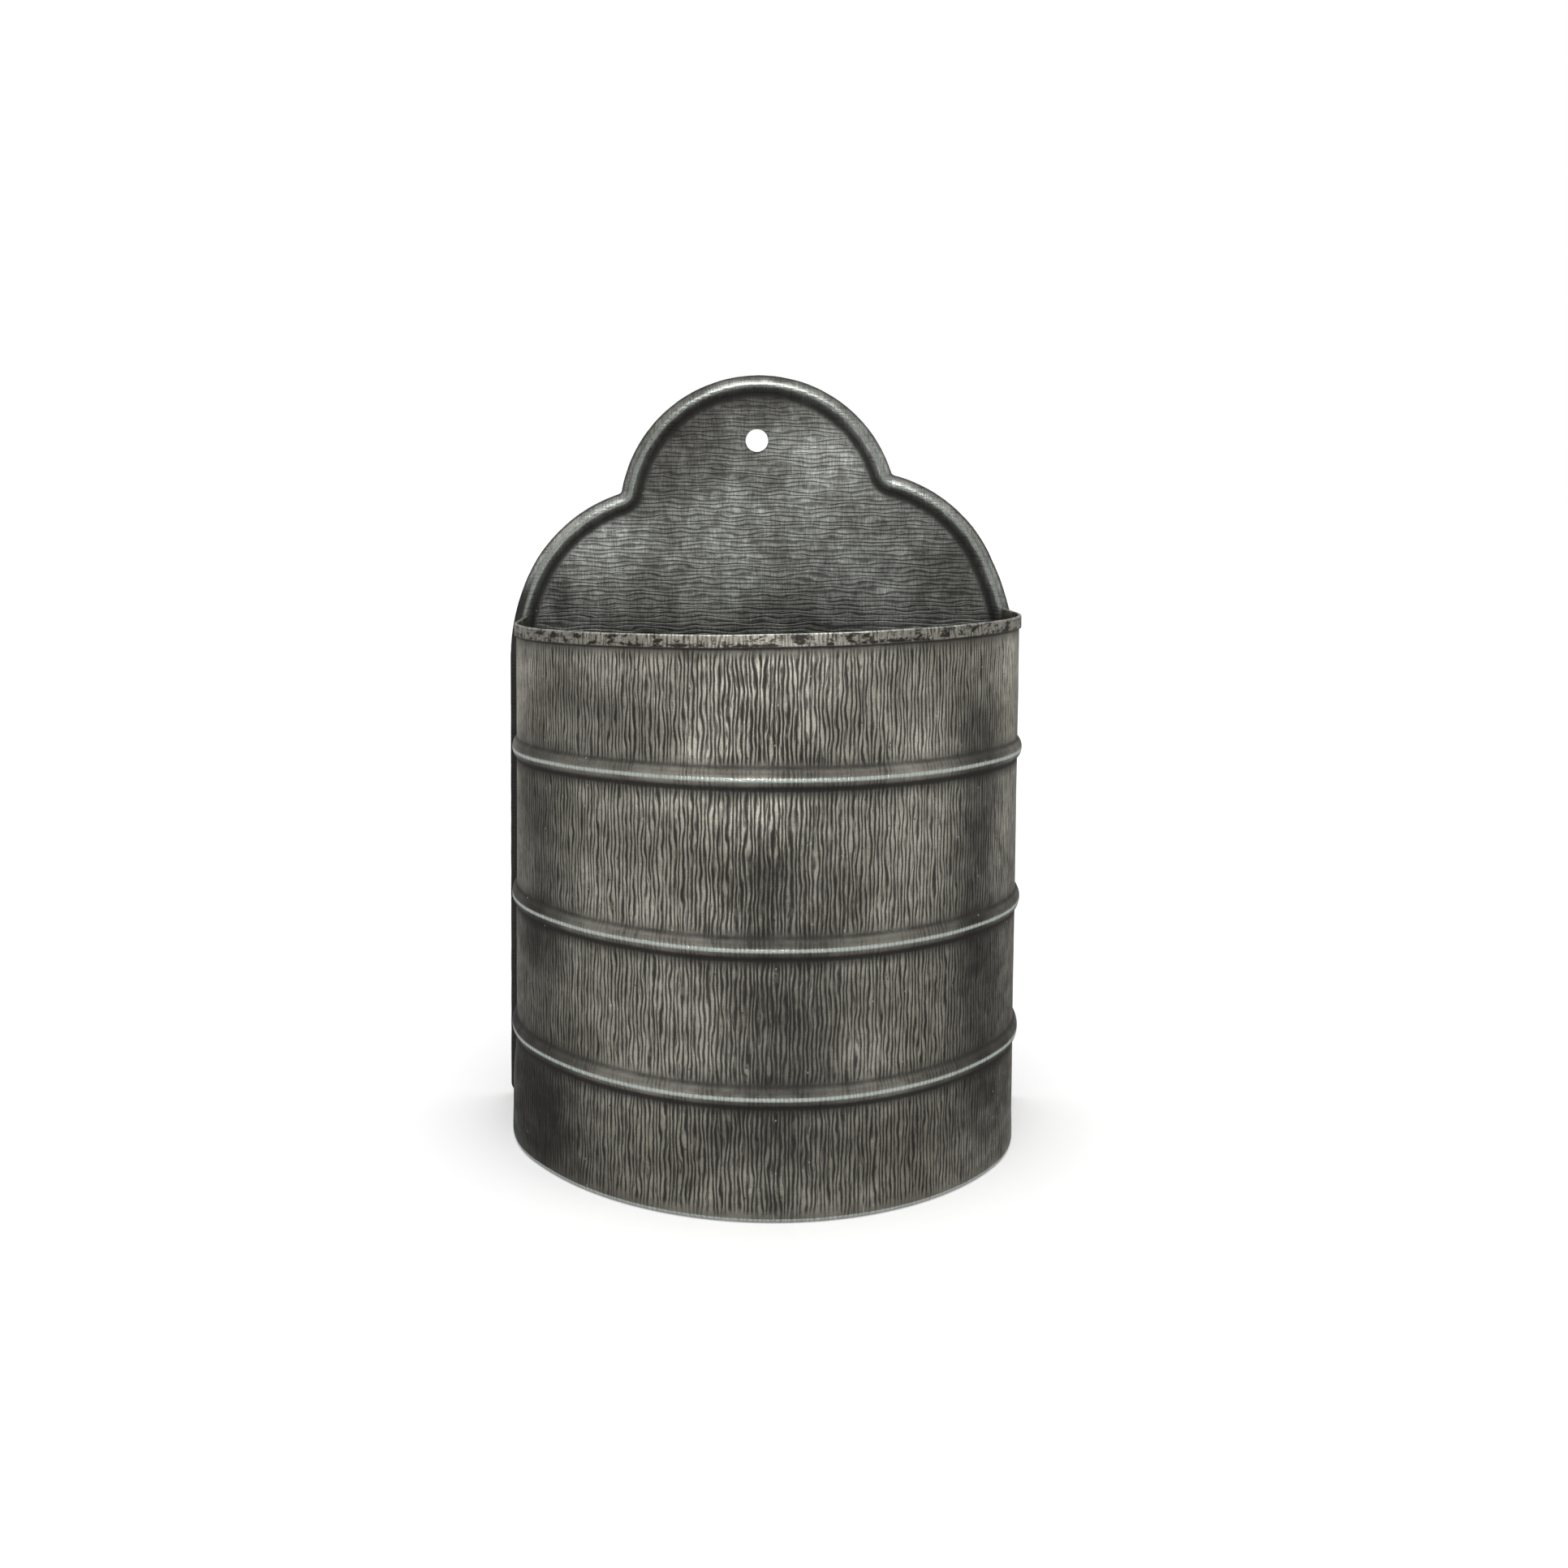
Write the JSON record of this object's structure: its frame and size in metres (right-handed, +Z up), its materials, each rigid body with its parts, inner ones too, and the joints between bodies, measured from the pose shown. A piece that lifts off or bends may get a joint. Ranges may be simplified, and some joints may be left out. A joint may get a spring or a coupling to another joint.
{
  "type": "wall planter",
  "caption": "Half-round sheet-metal wall planter: scalloped back plate with hanging hole and raised border bead, curved pocket with hemmed rim and rolled beads, raised floor.",
  "frame": {"origin": "centre of the hanging hole on the back plate's rear face", "axes": "+X to the viewer's right, +Y into the wall, +Z up"},
  "size_m": [0.23, 0.1198, 0.3288],
  "materials": {
    "plate_sheet": "aged zinc-coated sheet with fine crossing creases",
    "shell_sheet": "aged zinc-coated sheet with upright creases",
    "floor_sheet": "aged zinc-coated sheet, dull",
    "solder": "dull grey solder"
  },
  "bodies": {
    "root": {"back_plate": "plate_sheet", "front_shell": "shell_sheet", "floor_pan": "floor_sheet", "solder_left": "solder", "solder_right": "solder", "solder_round": "solder", "solder_back": "solder"}
  },
  "joints": []
}
